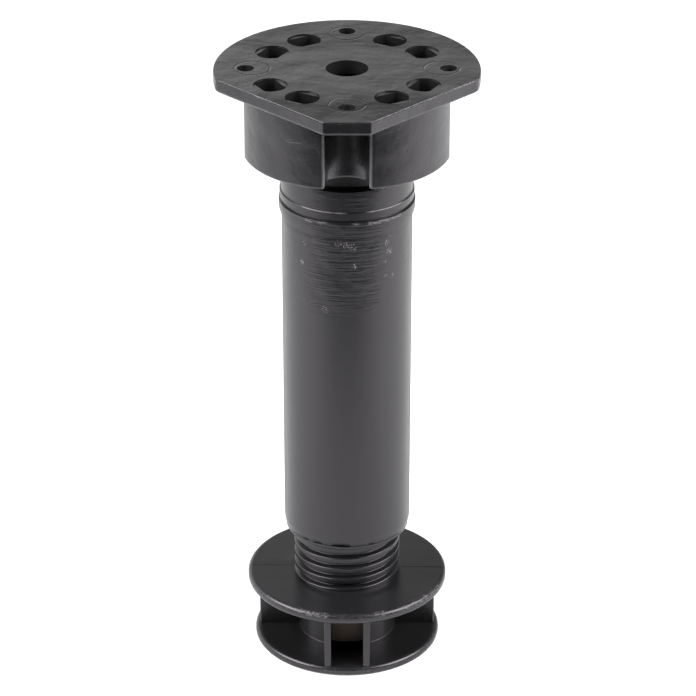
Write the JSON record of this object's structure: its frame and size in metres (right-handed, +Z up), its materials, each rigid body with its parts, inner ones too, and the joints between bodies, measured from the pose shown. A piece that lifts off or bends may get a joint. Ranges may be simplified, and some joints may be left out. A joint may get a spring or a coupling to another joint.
{
  "type": "furniture leg",
  "caption": "Height-adjustable cabinet leg: drilled mounting plate on a socket drum, straight tube, and a screw foot with ribbed discs.",
  "frame": {"origin": "on the leg's axis, at the flat underside of the foot, where the leg stands on the floor", "axes": "+Z up along the tube to the mounting plate, -Y towards the plate's short straight edge"},
  "size_m": [0.0624, 0.0639, 0.1519],
  "materials": {
    "plate_plastic": "satin black moulded plastic",
    "tube_plastic": "satin black plastic tube with fine turning marks near its collar",
    "bush_plastic": "satin black moulded plastic",
    "foot_plastic": "smooth black moulded plastic"
  },
  "bodies": {
    "foot": {"adjusting_foot": "foot_plastic"},
    "leg": {"mounting_plate": "plate_plastic", "leg_tube": "tube_plastic", "thread_bush": "bush_plastic"}
  },
  "joints": [
    {"name": "height_adjust", "type": "slide", "parent": "foot", "child": "leg", "axis": [0, 0, 1], "range_m": [-0.0128, 0.012]}
  ]
}
